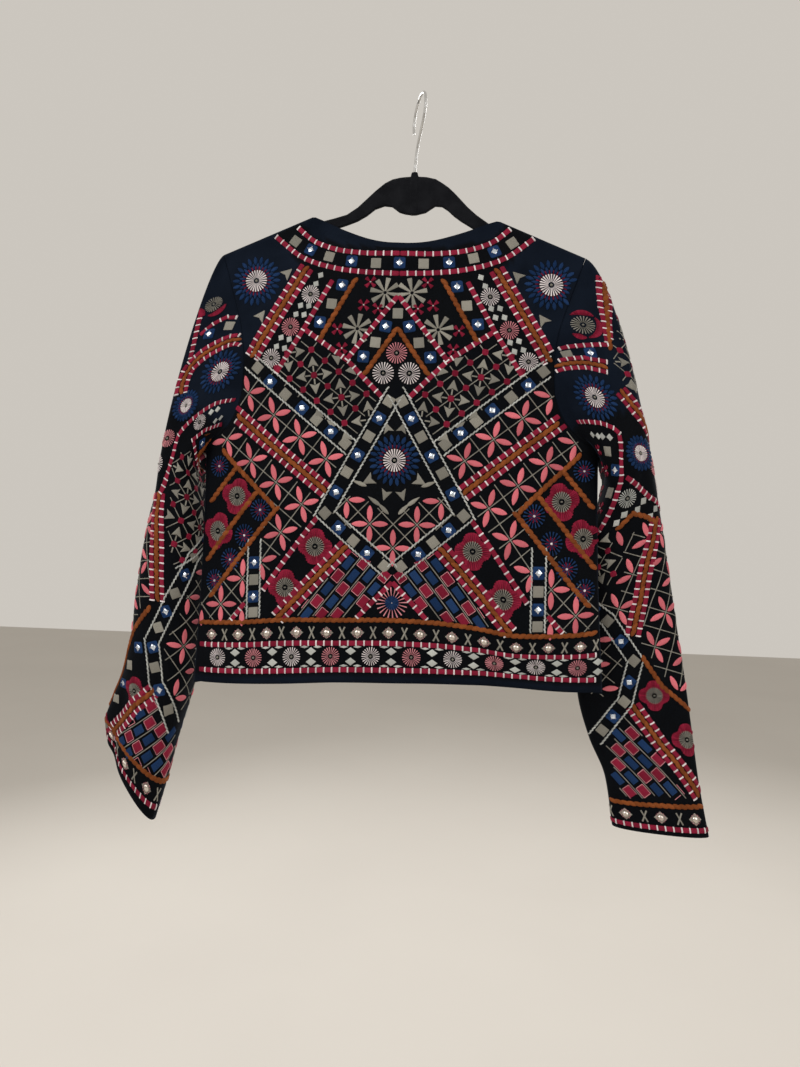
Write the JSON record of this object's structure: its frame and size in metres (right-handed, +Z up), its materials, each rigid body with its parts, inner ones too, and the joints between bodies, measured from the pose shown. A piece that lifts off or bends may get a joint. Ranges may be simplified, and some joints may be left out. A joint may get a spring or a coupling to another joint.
{
  "type": "embroidered jacket on a hanger",
  "caption": "Cropped collarless velvet jacket with long sleeves, open in front, covered in mirror embroidery, hanging on a slim flocked hanger with a wire hook.",
  "frame": {"origin": "inside of the hook's crown, where a rail or a door's top edge carries the weight", "axes": "+Z up, +Y from the back towards the open front, +X towards the wearer's right, which is the viewer's right in the picture of the back"},
  "size_m": [0.7387, 0.1142, 0.8844],
  "materials": {
    "velvet": "dark navy cotton velvet, worked all over with coloured embroidery",
    "flocking": "black flock on moulded plastic",
    "wire": "thin chromed wire"
  },
  "bodies": {
    "root": {"back": "velvet", "left_front": "velvet", "right_front": "velvet", "left_sleeve": "velvet", "right_sleeve": "velvet", "hanger_body": "flocking", "hanger_hook": "wire"}
  },
  "joints": []
}
